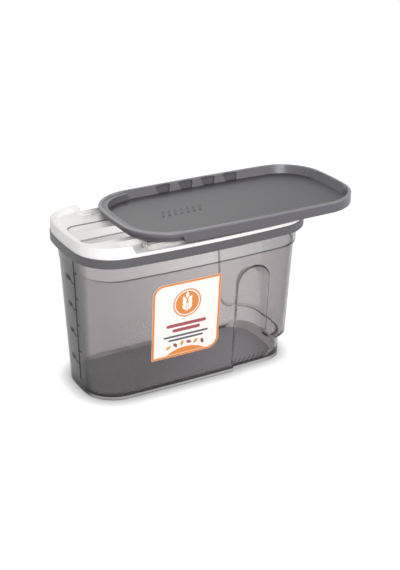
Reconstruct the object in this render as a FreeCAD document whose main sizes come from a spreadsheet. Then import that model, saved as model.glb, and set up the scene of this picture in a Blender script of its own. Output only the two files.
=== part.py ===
import FreeCAD, Part
import math
import os
import Sketcher

# A food storage container: a tapered clear tub, a collar band, a white pour frame and a lid that slides on it.
# Millimetres. The origin is the middle of the base, +Z is up, and the spout is at the -X end.
# The lid is drawn where it stands when it is slid fully open.

doc = FreeCAD.newDocument("food_container")
sheet = doc.addObject("Spreadsheet::Sheet", "Sizes")

SIZES = {
    # collar band, outside
    "collar_half_length": 95.0,
    "collar_half_width": 50.9,
    "collar_corner_radius": 30.8,
    "collar_end_radius": 197.0,
    "collar_side_radius": 882.0,
    "collar_bottom": 111.8,
    "collar_height": 6.8,
    "collar_band": 1.7,
    "collar_web_width": 1.7,
    "collar_web_thickness": 1.8,
    "collar_edge_round": 0.5,
    # tub
    "base_end_taper": 8.6,
    "base_side_taper": 15.5,
    "base_corner_radius": 25.5,
    "base_end_radius": 188.0,
    "base_side_radius": 3000.0,
    "base_edge": 0.9,
    "rim_inset": 5.0,
    "rim_height": 2.8,
    "rim_flange_width": 1.3,
    "rim_flange_thickness": 1.6,
    "tub_wall": 1.8,
    "floor_height": 3.0,
    "floor_edge": 2.2,
    "ridge_below_collar": 12.6,
    "ridge_step": 1.1,
    "ridge_step_at_spout": 0.15,
    # hand grip niche and stepped foot at the grip end
    "grip_from_end": 58.2,
    "grip_width": 28.8,
    "grip_spring": 73.6,
    "grip_slope": 0.53,
    "step_height": 20.0,
    "step_round": 12.0,
    "foot_end_step": 5.9,
    "foot_side_step": 1.8,
    "foot_corner_radius": 19.5,
    "foot_end_radius": 160.0,
    "foot_side_radius": 1400.0,
    "foot_ramp_length": 5.5,
    "foot_ramp_width": 1.2,
    "foot_ramp_height": 5.0,
    # label
    "label_left": -43.3,
    "label_width": 56.1,
    "label_bottom": 27.4,
    "label_height": 62.4,
    "label_round": 9.0,
    "label_thickness": 0.25,
    # seal
    "seal_side_gap": 0.2,
    # pour frame
    "frame_lip": 0.6,
    "frame_gap": 0.3,
    "rail_thickness": 2.0,
    "rail_height": 2.4,
    "rail_round": 0.5,
    "rail_foot_width": 2.5,
    "rail_foot_height": 3.0,
    "plate_thickness": 1.6,
    "deck_height": 4.3,
    "deck_side_gap": 8.2,
    "deck_from_grip_end": 23.0,
    "deck_wall": 1.8,
    "spout_deck_length": 30.0,
    "spout_height": 8.6,
    "spout_wall": 2.8,
    "spout_round": 1.3,
    "shoulder_top_from_end": 33.0,
    "shoulder_foot_from_end": 35.8,
    "mouth_from_end": 11.0,
    "mouth_length": 48.0,
    "mouth_from_deck_side": 6.7,
    "mouth_corner_radius": 7.0,
    "mouth_end_radius": 400.0,
    "mouth_side_radius": 900.0,
    "mouth_edge": 0.8,
    # guide bars and stop pins
    "bar_from_side": 11.4,
    "bar_width": 4.0,
    "bar_web": 1.7,
    "bar_height": 4.0,
    "bar_head": 1.4,
    "bar_from_spout_end": 48.0,
    "bar_from_grip_end": 20.5,
    "bar_eye": 4.0,
    "pin_radius": 1.3,
    "pin_head_radius": 1.9,
    "pin_head": 2.0,
    "pin_height": 2.3,
    "pin_gap": 0.05,
    # lid
    "lid_end_overhang": 2.4,
    "lid_side_overhang": 0.3,
    "lid_corner_radius": 35.5,
    "lid_end_radius": 247.0,
    "lid_side_radius": 2024.0,
    "lid_travel": 39.0,
    "lid_gap": 0.5,
    "lid_height": 8.0,
    "lid_floor": 1.8,
    "lid_skirt": 1.8,
    "lid_rim": 2.6,
    "lid_tray_inset": 5.6,
    "lid_tray_wall": 1.8,
    "lid_edge_round": 0.9,
    "nose_inset": 5.3,
    "nose_flange": 3.0,
    "nose_ledge": 1.0,
    "nose_gap": 0.6,
    "groove_depth": 5.0,
    "groove_tip": 0.5,
    "dent_count": 4,
    "dent_pitch": 20.2,
    "dent_top_width": 13.2,
    "dent_foot_width": 9.6,
    "dent_depth": 1.1,
    # lid hooks
    "hook_length": 12.0,
    "hook_wall": 1.6,
    "hook_foot": 1.3,
    "hook_gap": 0.3,
}
# Places and sizes that follow the collar, each from a size above and a named distance.
FOLLOWING = {
    "base_half_length": "=collar_half_length - base_end_taper",
    "base_half_width": "=collar_half_width - base_side_taper",
    "ridge_height": "=collar_bottom - ridge_below_collar",
    "foot_half_length": "=base_half_length - foot_end_step",
    "foot_half_width": "=base_half_width - foot_side_step",
    "grip_left": "=base_half_length - grip_from_end",
    "bar_outer_y": "=collar_half_width - bar_from_side",
    "bar_left": "=bar_from_spout_end - collar_half_length",
    "bar_right": "=collar_half_length - bar_from_grip_end",
    "deck_half_width": "=bar_outer_y - bar_width - hook_gap - hook_wall - deck_side_gap",
    "deck_right": "=collar_half_length - deck_from_grip_end",
    "spout_deck_right": "=spout_deck_length - collar_half_length",
    "shoulder_top_x": "=shoulder_top_from_end - collar_half_length",
    "shoulder_foot_x": "=shoulder_foot_from_end - collar_half_length",
    "mouth_left": "=mouth_from_end - collar_half_length",
    "mouth_half_width": "=deck_half_width - mouth_from_deck_side",
    "lid_half_length": "=collar_half_length + lid_end_overhang",
    "lid_half_width": "=collar_half_width + lid_side_overhang",
    "lid_open_x": "=lid_travel + lid_end_overhang",
}
for row, (alias, value) in enumerate((SIZES | FOLLOWING).items(), start=1):
    sheet.set(f"A{row}", alias)
    sheet.set(f"B{row}", str(value))
    sheet.setAlias(f"B{row}", alias)
doc.recompute()


# Heights and places that follow from the sizes above, as expressions.
def cell(alias):
    return f"Sizes.{alias}"


def total(*terms):
    return "(" + " + ".join(terms) + ")"


def less(first, *others):
    return "(" + " - ".join((first,) + others) + ")"


def number(expression):
    return float(sheet.evalExpression(expression))


collar_top = total(cell("collar_bottom"), cell("collar_height"))
rim_top = total(cell("collar_bottom"), cell("rim_height"))
web_top = total(rim_top, cell("collar_web_thickness"))
plate_top = total(web_top, cell("plate_thickness"))
rail_top = total(collar_top, cell("rail_height"))
rail_foot_top = total(web_top, cell("rail_foot_height"))
deck_top = total(plate_top, cell("deck_height"))
spout_top = total(collar_top, cell("spout_height"))
bar_top = total(plate_top, cell("bar_height"))
bar_head_bottom = less(bar_top, cell("bar_head"))
bar_inner_y = less(cell("bar_outer_y"), cell("bar_width"))
bar_web_y = less(cell("bar_outer_y"), cell("bar_web"))
lid_bottom = total(deck_top, cell("lid_gap"))
lid_top = total(lid_bottom, cell("lid_height"))
frame_inset = total(cell("collar_band"), cell("frame_gap"))
rail_inner_inset = total(cell("frame_lip"), cell("rail_thickness"))
web_inset = total(cell("collar_band"), cell("collar_web_width"))
flange_inset = less(cell("rim_inset"), cell("rim_flange_width"))
mouth_half_length = f"{cell('mouth_length')} / 2"
mouth_x = total(cell("mouth_left"), mouth_half_length)
mouth_right = total(cell("mouth_left"), cell("mouth_length"))

OUTLINE_KEYS = ("half_length", "half_width", "corner_radius", "end_radius", "side_radius")


# An outline is a rounded rectangle with bowed ends and bowed sides, given by five sizes.
def outline(prefix):
    return {key: cell(f"{prefix}_{key}") for key in OUTLINE_KEYS}


def inset_outline(source, inset):
    return {key: less(source[key], inset) for key in OUTLINE_KEYS}


def mixed_outline(low, high, ratio):
    return {key: f"({low[key]} + ({high[key]} - {low[key]}) * {ratio})" for key in OUTLINE_KEYS}


collar = outline("collar")
base = outline("base")
foot = outline("foot")
lid = outline("lid")
mouth = {
    "half_length": mouth_half_length,
    "half_width": cell("mouth_half_width"),
    "corner_radius": cell("mouth_corner_radius"),
    "end_radius": cell("mouth_end_radius"),
    "side_radius": cell("mouth_side_radius"),
}
rim = inset_outline(collar, cell("rim_inset"))
ridge = mixed_outline(base, rim, f"{cell('ridge_height')} / {cell('collar_bottom')}")
# Below the ridge the wall steps in on the sides and the grip end, and hardly at all on the spout end.
below_ridge = dict(ridge)
below_ridge["half_length"] = f"({ridge['half_length']} - ({cell('ridge_step')} + {cell('ridge_step_at_spout')}) / 2)"
below_ridge["half_width"] = less(ridge["half_width"], cell("ridge_step"))
below_ridge_shift = f"({cell('ridge_step_at_spout')} - {cell('ridge_step')}) / 2"


def origin_plane(body, role):
    return next(item for item in body.Origin.OriginFeatures if item.Role == role)


def new_body(name):
    return doc.addObject("PartDesign::Body", name)


def new_sketch(body, name, role):
    sketch = body.newObject("Sketcher::SketchObject", name)
    sketch.AttachmentSupport = (origin_plane(body, role), [""])
    sketch.MapMode = "FlatFace"
    return sketch


def bind(sketch, kind, places, expression):
    index = sketch.addConstraint(Sketcher.Constraint(kind, *places, number(expression)))
    sketch.setExpression(f"Constraints[{index}]", expression)


# Eight tangent arcs: right end, corner, far side, corner, left end, corner, near side, corner.
def add_outline(sketch, shape, inset):
    value = {key: number(shape[key]) for key in OUTLINE_KEYS}
    end_x = value["half_length"] - value["end_radius"]
    side_y = value["half_width"] - value["side_radius"]
    to_end = value["end_radius"] - value["corner_radius"]
    to_side = value["side_radius"] - value["corner_radius"]
    span = math.hypot(end_x, side_y)
    along = (to_side ** 2 - to_end ** 2 + span ** 2) / (2 * span)
    across = math.sqrt(to_side ** 2 - along ** 2)
    unit = (end_x / span, -side_y / span)
    corner_x = along * unit[0] + across * unit[1]
    corner_y = side_y + along * unit[1] - across * unit[0]
    low = math.atan2(corner_y, corner_x - end_x)
    high = math.atan2(corner_y - side_y, corner_x)
    gap = number(inset)
    end, corner, side = (value[key] - gap for key in ("end_radius", "corner_radius", "side_radius"))
    turn = math.pi
    arcs = (
        (end_x, 0, end, -low, low),
        (corner_x, corner_y, corner, low, high),
        (0, side_y, side, high, turn - high),
        (-corner_x, corner_y, corner, turn - high, turn - low),
        (-end_x, 0, end, turn - low, turn + low),
        (-corner_x, -corner_y, corner, turn + low, turn + high),
        (0, -side_y, side, turn + high, 2 * turn - high),
        (corner_x, -corner_y, corner, 2 * turn - high, 2 * turn - low),
    )
    up = FreeCAD.Vector(0, 0, 1)
    first = len(sketch.Geometry)
    for x, y, radius, start, stop in arcs:
        circle = Part.Circle(FreeCAD.Vector(x, y, 0), up, radius)
        sketch.addGeometry(Part.ArcOfCircle(circle, start, stop), False)
    ids = [first + step for step in range(len(arcs))]
    for step, arc in enumerate(ids):
        sketch.addConstraint(Sketcher.Constraint("Tangent", arc, 2, ids[(step + 1) % len(ids)], 1))
    for one, other in ((0, 4), (2, 6), (1, 3), (1, 5), (1, 7)):
        sketch.addConstraint(Sketcher.Constraint("Equal", ids[one], ids[other]))
    sketch.addConstraint(Sketcher.Constraint("PointOnObject", ids[0], 3, -1))
    sketch.addConstraint(Sketcher.Constraint("PointOnObject", ids[2], 3, -2))
    sketch.addConstraint(Sketcher.Constraint("Symmetric", ids[0], 3, ids[4], 3, -2))
    sketch.addConstraint(Sketcher.Constraint("Symmetric", ids[2], 3, ids[6], 3, -1))
    bind(sketch, "Radius", (ids[0],), less(shape["end_radius"], inset))
    bind(sketch, "Radius", (ids[1],), less(shape["corner_radius"], inset))
    bind(sketch, "Radius", (ids[2],), less(shape["side_radius"], inset))
    bind(sketch, "DistanceX", (ids[0], 3, -1, 1), less(shape["end_radius"], shape["half_length"]))
    bind(sketch, "DistanceY", (ids[2], 3, -1, 1), less(shape["side_radius"], shape["half_width"]))


def outline_sketch(body, name, shape, insets, height, shift="0"):
    sketch = new_sketch(body, name, "XY_Plane")
    sketch.setExpression("AttachmentOffset.Base.z", height)
    sketch.setExpression("AttachmentOffset.Base.x", shift)
    for inset in insets:
        add_outline(sketch, shape, inset)
    return sketch


# Rounds every edge of the top or the bottom face of a body's last feature.
def round_end(body, at_top, radius):
    doc.recompute()
    feature = body.Tip
    faces = feature.Shape.Faces
    heights = [face.BoundBox.ZMax if at_top else -face.BoundBox.ZMin for face in faces]
    flat = [index for index, face in enumerate(faces) if face.BoundBox.ZLength < 0.001]
    chosen = max(flat, key=lambda index: heights[index])
    fillet = body.newObject("PartDesign::Fillet", body.Name + "_round")
    fillet.Base = (feature, [f"Face{chosen + 1}"])
    fillet.setExpression("Radius", radius)
    body.Tip = fillet


def outline_pad(name, shape, insets, bottom, top, shift="0"):
    body = new_body(name)
    sketch = outline_sketch(body, name + "_sketch", shape, insets, bottom, shift)
    pad = body.newObject("PartDesign::Pad", name + "_pad")
    pad.Profile = sketch
    pad.setExpression("Length", less(top, bottom))
    return body


def outline_loft(name, sections):
    body = new_body(name)
    sketches = [
        outline_sketch(body, f"{name}_section_{index}", shape, (inset,), height, shift)
        for index, (shape, inset, height, shift) in enumerate(sections)
    ]
    loft = body.newObject("PartDesign::AdditiveLoft", name + "_loft")
    loft.Profile = sketches[0]
    loft.Sections = sketches[1:]
    loft.Ruled = True
    return body


# A closed path of straight runs and arcs on the XZ plane.
# Each corner is (x, z), with a third entry where an arc leads to the next corner: (radius, turn of the arc).
def side_sketch(body, name, corners):
    sketch = new_sketch(body, name, "XZ_Plane")
    points = [FreeCAD.Vector(number(corner[0]), number(corner[1]), 0) for corner in corners]
    up = FreeCAD.Vector(0, 0, 1)
    for index, corner in enumerate(corners):
        here = points[index]
        there = points[(index + 1) % len(points)]
        if len(corner) == 2:
            sketch.addGeometry(Part.LineSegment(here, there), False)
            continue
        radius, turn = corner[2]
        middle = (here + there) * 0.5
        chord = there - here
        reach = math.sqrt(max(number(radius) ** 2 - (chord.Length / 2) ** 2, 0.0))
        normal = FreeCAD.Vector(-chord.y, chord.x, 0).normalize()
        centre = middle + normal * (reach * turn)
        bulge = (middle - centre).normalize() * number(radius)
        arc = Part.Arc(here, centre + bulge, there)
        sketch.addGeometry(arc, False)
    for index, corner in enumerate(corners):
        following = (index + 1) % len(corners)
        # An arc that turns clockwise is stored from its far end, so its own start is found by place.
        ends = [endpoint(sketch, index, points[index]), endpoint(sketch, index, points[following])]
        next_start = endpoint(sketch, following, points[following])
        sketch.addConstraint(Sketcher.Constraint("Coincident", index, ends[1], following, next_start))
        bind(sketch, "DistanceX", (-1, 1, index, ends[0]), corner[0])
        bind(sketch, "DistanceY", (-1, 1, index, ends[0]), corner[1])
        if len(corner) == 3:
            bind(sketch, "Radius", (index,), corner[2][0])
    return sketch


# Such a path padded evenly to both sides of the plane, or to -Y only.
def side_profile(name, corners, depth, start_y=None):
    body = new_body(name)
    sketch = side_sketch(body, name + "_sketch", corners)
    pad = body.newObject("PartDesign::Pad", name + "_pad")
    pad.Profile = sketch
    pad.setExpression("Length", depth)
    if start_y is None:
        pad.SideType = "Symmetric"
    else:
        sketch.setExpression("AttachmentOffset.Base.z", start_y)
    return body


def endpoint(sketch, geometry, point):
    near = sketch.getPoint(geometry, 1).distanceToPoint(point)
    far = sketch.getPoint(geometry, 2).distanceToPoint(point)
    return 1 if near < far else 2


def place(item, x, y, z):
    for axis, expression in zip("xyz", (x, y, z)):
        item.setExpression(f"Placement.Base.{axis}", expression)


def box(name, x, y, z, length, width, height):
    item = doc.addObject("Part::Box", name)
    for key, expression in (("Length", length), ("Width", width), ("Height", height)):
        item.setExpression(key, expression)
    place(item, x, y, z)
    return item


# A round bar along Y.
def cross_cylinder(name, x, y, z, radius, length):
    item = doc.addObject("Part::Cylinder", name)
    item.Placement = FreeCAD.Placement(FreeCAD.Vector(), FreeCAD.Rotation(FreeCAD.Vector(1, 0, 0), -90))
    item.setExpression("Radius", radius)
    item.setExpression("Height", length)
    place(item, x, y, z)
    return item


def cut(name, kept, *tools):
    item = doc.addObject("Part::Cut", name)
    item.Base = kept
    item.Tool = tools[0] if len(tools) == 1 else fuse(name + "_tools", *tools)
    return item


def fuse(name, *pieces):
    item = doc.addObject("Part::MultiFuse", name)
    item.Shapes = list(pieces)
    return item


def common(name, *pieces):
    item = doc.addObject("Part::MultiCommon", name)
    item.Shapes = list(pieces)
    return item


def mirror(name, source):
    item = doc.addObject("Part::Mirroring", name)
    item.Source = source
    item.Normal = FreeCAD.Vector(0, 1, 0)
    return item


past = "5"
no_inset = "0"
wall = cell("tub_wall")
across = f"4 * {cell('collar_half_width')}"
along = f"2 * {cell('collar_half_length')}"


# The tub: an outer body with the grip niches cut in, less a hollow that follows it one wall thickness in.
def tub_stack(name, inset, floor, edge, top):
    lower = outline_loft(name + "_lower", (
        (base, total(inset, edge), floor, "0"),
        (base, inset, total(floor, edge), "0"),
        (below_ridge, inset, cell("ridge_height"), below_ridge_shift),
    ))
    upper = outline_loft(name + "_upper", (
        (ridge, inset, cell("ridge_height"), "0"),
        (rim, inset, cell("collar_bottom"), "0"),
        (rim, inset, top, "0"),
    ))
    return lower, upper


# How far the outside of the tub's long wall is from the middle plane at a height.
def wall_reach(height):
    lean = f"({below_ridge['half_width']} - {base['half_width']}) / {cell('ridge_height')}"
    return f"({base['half_width']} + {lean} * {height})"


# The arch of the grip and the low band to the end, on a plane at a distance from the middle plane.
# The arch narrows by the slope as it goes in from the wall.
def grip_path(grow, reach):
    slope = cell("grip_slope")
    spring = cell("grip_spring")
    step = total(cell("step_height"), grow)
    turn = less(cell("step_round"), grow)
    side_grow = f"({grow} * sqrt(1 + {slope} ^ 2))"

    def narrowing(height):
        return f"({slope} * ({wall_reach(height)} - {reach}) - {side_grow})"

    left_x = cell("grip_left")
    right_x = total(left_x, cell("grip_width"))
    left = total(left_x, narrowing(spring))
    right = less(right_x, narrowing(spring))
    low_right = less(right_x, narrowing(total(step, turn)))
    radius = f"(({right} - {left}) / 2)"
    return (
        (total(left_x, narrowing(f"-{past}")), f"-{past}"),
        (left, spring, (radius, -1)),
        (f"(({left} + {right}) / 2)", total(spring, radius), (radius, -1)),
        (right, spring),
        (low_right, total(step, turn), (turn, 1)),
        (total(low_right, turn), step),
        (along, step),
        (along, f"-{past}"),
    )


# Everything outside the upright foot, within the arch over the grip and the band to the end.
def grip_recess(name, grow, foot_block):
    body = new_body(name + "_profile")
    outer = total(cell("collar_half_width"), past)
    inner = less(cell("foot_half_width"), past)
    sketches = []
    for side, reach in (("1", outer), ("1", inner), ("-1", inner), ("-1", outer)):
        sketch = side_sketch(body, f"{name}_section_{len(sketches)}", grip_path(grow, reach))
        sketch.setExpression("AttachmentOffset.Base.z", f"{side} * {reach}")
        sketches.append(sketch)
    loft = body.newObject("PartDesign::AdditiveLoft", name + "_loft")
    loft.Profile = sketches[0]
    loft.Sections = sketches[1:]
    loft.Ruled = True
    return cut(name, body, foot_block)


outer_lower, outer_upper = tub_stack("tub_outer", no_inset, "0", cell("base_edge"), rim_top)
inner_lower, inner_upper = tub_stack("tub_inner", wall, cell("floor_height"), cell("floor_edge"), total(rim_top, past))
flange = outline_pad("tub_flange", collar, (flange_inset, total(cell("rim_inset"), f"{wall} / 2")),
                     less(rim_top, cell("rim_flange_thickness")), rim_top)
tub_block = fuse("tub_block", outer_lower, outer_upper, flange)
# Inside the grip end the floor rises on a ramp to the foot's wall.
foot_floor = inset_outline(foot, total(wall, cell("foot_ramp_width")))
foot_floor["half_length"] = less(foot["half_length"], wall, cell("foot_ramp_length"))
foot_outside = outline_pad("foot_outside", foot, (no_inset,), f"-2 * {past}", along)
foot_inside = outline_loft("foot_inside", (
    (foot_floor, no_inset, less(cell("floor_height"), past), "0"),
    (foot_floor, no_inset, cell("floor_height"), "0"),
    (foot, wall, total(cell("floor_height"), cell("foot_ramp_height")), "0"),
    (foot, wall, along, "0"),
))
tub_inside = fuse("tub_inside", inner_lower, inner_upper)
tub_hollow = cut("tub_hollow", tub_inside, grip_recess("grip_inside", wall, foot_inside))
tub = cut("tub", tub_block, grip_recess("grip_outside", "0", foot_outside), tub_hollow)


# The label: a thin layer on the near wall, with two opposite corners rounded.
label_right = total(cell("label_left"), cell("label_width"))
label_top = total(cell("label_bottom"), cell("label_height"))
label_round = cell("label_round")
label_area = side_profile("label_area", (
    (cell("label_left"), cell("label_bottom")),
    (cell("label_left"), less(label_top, label_round), (label_round, -1)),
    (total(cell("label_left"), label_round), label_top),
    (label_right, label_top),
    (label_right, total(cell("label_bottom"), label_round), (label_round, -1)),
    (less(label_right, label_round), cell("label_bottom")),
), across, "0")
label_skin = outline_loft("label_skin", (
    (base, f"-{cell('label_thickness')}", "0", "0"),
    (below_ridge, f"-{cell('label_thickness')}", cell("ridge_height"), below_ridge_shift),
))
label_core = outline_loft("label_core", (
    (base, no_inset, "0", "0"),
    (below_ridge, no_inset, cell("ridge_height"), below_ridge_shift),
))
label = common("label", cut("label_layer", label_skin, label_core), label_area)


# The collar: an outside band with a web inside it that carries the frame.
collar_band = outline_pad("collar_band", collar, (no_inset, cell("collar_band")), cell("collar_bottom"), collar_top)
round_end(collar_band, False, cell("collar_edge_round"))
collar_web = outline_pad("collar_web", collar, (f"{cell('collar_band')} / 2", web_inset), rim_top, web_top)
collar_ring = fuse("collar_ring", collar_band, collar_web)


# The seal lies on the rim of the tub, under the plate of the frame.
rim_seal = outline_pad("rim_seal", collar, (
    total(web_inset, cell("seal_side_gap")),
    total(cell("rim_inset"), wall, f"-{cell('seal_side_gap')}"),
), rim_top, web_top)


# The pour frame: plate, rail, deck and spout wall, with the mouth cut through.
def front_zone(name, top_x, foot_x, foot_z, top_z):
    slope = f"(({top_x} - {foot_x}) / ({top_z} - {foot_z}))"
    low_z = less(foot_z, f"2 * {past}")
    high_z = total(top_z, f"2 * {past}")
    low_x = f"({foot_x} + {slope} * ({low_z} - {foot_z}))"
    high_x = f"({foot_x} + {slope} * ({high_z} - {foot_z}))"
    return side_profile(name, (
        (f"-{along}", low_z),
        (low_x, low_z),
        (high_x, high_z),
        (f"-{along}", high_z),
    ), across)


plate = outline_pad("frame_plate", collar, (frame_inset,), web_top, plate_top)
rail_foot = outline_pad("rail_foot", collar, (frame_inset, total(frame_inset, cell("rail_foot_width"))),
                        web_top, rail_foot_top)
rail = outline_pad("rail", collar, (cell("frame_lip"), rail_inner_inset), collar_top, rail_top)
round_end(rail, True, cell("rail_round"))
spout_inset = total(cell("frame_lip"), cell("spout_wall"))
spout_ring = outline_pad("spout_ring", collar, (cell("frame_lip"), spout_inset), collar_top, spout_top)
round_end(spout_ring, True, cell("spout_round"))
shoulder = front_zone("shoulder", cell("shoulder_top_x"), cell("shoulder_foot_x"), rail_top, spout_top)
spout_side = common("spout_side", spout_ring, shoulder)
spout_deck = common(
    "spout_deck",
    outline_pad("spout_deck_pad", collar, (frame_inset,), web_top, deck_top),
    box("spout_deck_area", f"-{along}", f"-{across} / 2", "0", total(along, cell("spout_deck_right")), across, along),
)
deck = box("deck", less(cell("spout_deck_right"), past), f"-{cell('deck_half_width')}", web_top,
           total(less(cell("deck_right"), cell("spout_deck_right")), past), f"2 * {cell('deck_half_width')}",
           less(deck_top, web_top))
deck_under = less(deck_top, cell("deck_wall"))
deck_inside_y = less(cell("deck_half_width"), cell("deck_wall"))
hollow_left = less(cell("spout_deck_right"), cell("deck_wall"))
deck_hollow = box("deck_hollow", less(hollow_left, past), f"-{deck_inside_y}", less(web_top, past),
                  total(less(cell("deck_right"), cell("deck_wall"), hollow_left), past), f"2 * {deck_inside_y}",
                  total(less(deck_under, web_top), past))
spout_hollow = common(
    "spout_hollow",
    outline_pad("spout_hollow_pad", collar, (total(cell("rim_inset"), wall, cell("seal_side_gap")),),
                less(web_top, past), deck_under),
    box("spout_hollow_area", f"-{along}", f"-{across} / 2", "0", total(along, hollow_left), across, along),
)
mouth_tube = outline_pad("mouth_tube", mouth, (f"-{cell('deck_wall')}",), web_top, deck_top, mouth_x)
mouth_hole = outline_pad("mouth_hole", mouth, (no_inset,), less(web_top, past), total(deck_top, past), mouth_x)
mouth_flare = outline_loft("mouth_flare", (
    (mouth, no_inset, less(deck_top, cell("mouth_edge")), mouth_x),
    (mouth, f"-{cell('mouth_edge')}", deck_top, mouth_x),
    (mouth, f"-2 * {cell('mouth_edge')}", total(deck_top, cell("mouth_edge")), mouth_x),
))
frame_block = fuse("frame_block", plate, rail_foot, rail, spout_side, spout_deck, deck)
frame_shell = cut("frame_shell", frame_block, deck_hollow, spout_hollow)
spout_frame = cut("spout_frame", fuse("frame_with_tube", frame_shell, mouth_tube), mouth_hole, mouth_flare)


# Guide bars: an upright web with a head that the lid hooks run under, and a solid eye at each end for a stop pin.
bar_length = less(cell("bar_right"), cell("bar_left"))
eye_left = total(cell("bar_left"), cell("bar_eye"))
eye_right = less(cell("bar_right"), cell("bar_eye"))
half_eye = f"{cell('bar_eye')} / 2"
pin_z = total(plate_top, cell("pin_height"))
pin_start_y = less(f"-{cell('bar_outer_y')}", cell("pin_head"))
pin_places = (total(cell("bar_left"), half_eye), less(cell("bar_right"), half_eye))
bar_block = box("bar_block", cell("bar_left"), f"-{cell('bar_outer_y')}", plate_top,
                bar_length, cell("bar_width"), cell("bar_height"))
bar_undercut = box("bar_undercut", eye_left, f"-{bar_web_y}", less(plate_top, past),
                   less(eye_right, eye_left), cell("bar_width"), total(less(bar_head_bottom, plate_top), past))
bar_bores = [
    cross_cylinder(f"bar_bore_{index}", x, f"-{cell('bar_outer_y')} - {past}", pin_z,
                   total(cell("pin_radius"), cell("pin_gap")), f"{cell('bar_width')} + 2 * {past}")
    for index, x in enumerate(pin_places)
]
guide_bar_near = cut("guide_bar_near", bar_block, bar_undercut, *bar_bores)
guide_bar_far = mirror("guide_bar_far", guide_bar_near)


def stop_pin(name, x):
    shaft = cross_cylinder(name + "_shaft", x, pin_start_y, pin_z, cell("pin_radius"),
                           f"{cell('bar_width')} + 2 * {cell('pin_head')}")
    outer = cross_cylinder(name + "_outer", x, pin_start_y, pin_z, cell("pin_head_radius"), cell("pin_head"))
    inner = cross_cylinder(name + "_inner", x, f"-{bar_inner_y}", pin_z, cell("pin_head_radius"), cell("pin_head"))
    return fuse(name, shaft, outer, inner)


near_pins = [stop_pin(f"stop_pin_{index}", x) for index, x in enumerate(pin_places)]
far_pins = [mirror(f"stop_pin_far_{index}", pin) for index, pin in enumerate(near_pins)]
stop_pins = doc.addObject("Part::Compound", "stop_pins")
stop_pins.Links = near_pins + far_pins


# The lid: a tray whose rim carries a skirt, stepped in at the nose so that it drops inside the spout wall.
lid_x = cell("lid_open_x")
tray_floor = total(lid_bottom, cell("lid_floor"))
nose_under = less(lid_top, cell("nose_flange"))
nose_shelf = less(lid_top, cell("nose_ledge"))
nose_wall_inset = total(cell("nose_inset"), cell("lid_tray_wall"))
shoulder_slope = f"(({cell('shoulder_top_x')} - {cell('shoulder_foot_x')}) / ({spout_top} - {rail_top}))"
open_shift = total(cell("lid_travel"), cell("nose_gap"))


# The nose ends on a slant that clears the frame's shoulder when the lid is slid shut.
def nose_zone(name, shift):
    foot_x = f"({cell('shoulder_foot_x')} + {shoulder_slope} * ({lid_bottom} - {rail_top}) + {shift})"
    top_x = f"({cell('shoulder_foot_x')} + {shoulder_slope} * ({lid_top} - {rail_top}) + {shift})"
    return front_zone(name, top_x, foot_x, lid_bottom, lid_top)


lid_block = outline_pad("lid_block", lid, (no_inset,), lid_bottom, lid_top, lid_x)
round_end(lid_block, True, cell("lid_edge_round"))


def tray_loft(name, grow):
    return outline_loft(name, (
        (lid, less(cell("lid_tray_inset"), grow), tray_floor, lid_x),
        (lid, less(cell("lid_rim"), grow), lid_top, lid_x),
        (lid, less(cell("lid_rim"), grow), total(lid_top, past), lid_x),
    ))


tray_hollow = tray_loft("tray_hollow", "0")
nose_band = common(
    "nose_band",
    outline_pad("nose_band_pad", lid, (f"{cell('lid_rim')} / 2", nose_wall_inset), lid_bottom, nose_shelf, lid_x),
    nose_zone("nose_band_area", total(open_shift, cell("lid_skirt"))),
)
nose_cut = common(
    "nose_cut",
    outline_pad("nose_cut_pad", lid, (f"-{past}", cell("nose_inset")), less(lid_bottom, past), nose_under, lid_x),
    nose_zone("nose_cut_area", open_shift),
)
groove_top = total(lid_bottom, cell("groove_depth"))
groove_core = outline_loft("groove_core", (
    (lid, less(cell("lid_tray_inset"), cell("lid_tray_wall")), less(lid_bottom, past), lid_x),
    (lid, less(cell("lid_tray_inset"), cell("lid_tray_wall")), lid_bottom, lid_x),
    (lid, total(cell("lid_skirt"), cell("groove_tip")), groove_top, lid_x),
))
groove = cut(
    "skirt_groove",
    outline_pad("groove_pad", lid, (cell("lid_skirt"),), less(lid_bottom, past), groove_top, lid_x),
    groove_core,
    nose_zone("groove_stop", cell("lid_travel")),
)

# Finger dents: trapezoids pressed a little way into the inner face of both long walls.
dent_skin = tray_loft("dent_skin", cell("dent_depth"))
dent_areas = []
for index in range(SIZES["dent_count"]):
    dent_x = f"({lid_x} + {cell('dent_pitch')} * ({index} - ({cell('dent_count')} - 1) / 2))"
    half_foot = f"{cell('dent_foot_width')} / 2"
    half_top = f"{cell('dent_top_width')} / 2"
    dent_areas.append(side_profile(f"dent_area_{index}", (
        (less(dent_x, half_foot), tray_floor),
        (total(dent_x, half_foot), tray_floor),
        (total(dent_x, half_top), less(lid_top, cell("lid_edge_round"))),
        (less(dent_x, half_top), less(lid_top, cell("lid_edge_round"))),
    ), across))
dents = common("dents", dent_skin, fuse("dent_areas", *dent_areas))

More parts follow.
